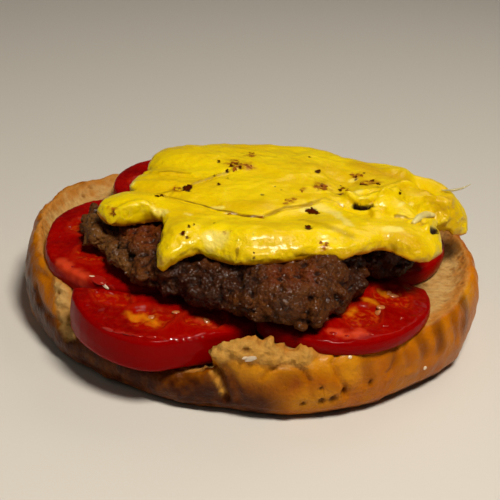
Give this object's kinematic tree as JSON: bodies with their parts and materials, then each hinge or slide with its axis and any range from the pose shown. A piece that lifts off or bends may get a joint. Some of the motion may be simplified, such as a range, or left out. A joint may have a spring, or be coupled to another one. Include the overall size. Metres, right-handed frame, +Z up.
{
  "type": "open cheeseburger",
  "caption": "Open cheeseburger: half of a round bun with its cut face up, tomato slices, a rough beef patty and a thick folded sheet of melted cheese.",
  "frame": {"origin": "middle of the flat underside of the bun", "axes": "+Z up, -Y towards the viewer of the picture, +X to the viewer's right"},
  "size_m": [0.1166, 0.1131, 0.0388],
  "materials": {
    "bun_crust": "shiny golden brown baked crust, pale open crumb on the cut face",
    "tomato": "wet red flesh with a smooth skin",
    "beef": "rough browned minced meat with wet fat",
    "cheese": "soft shiny melted yellow cheese with browned specks"
  },
  "bodies": {
    "root": {"bun": "bun_crust", "tomato_left": "tomato", "tomato_front_left": "tomato", "tomato_front_right": "tomato", "tomato_right_back": "tomato", "tomato_back_left": "tomato", "beef_patty": "beef", "melted_cheese": "cheese"}
  },
  "joints": []
}
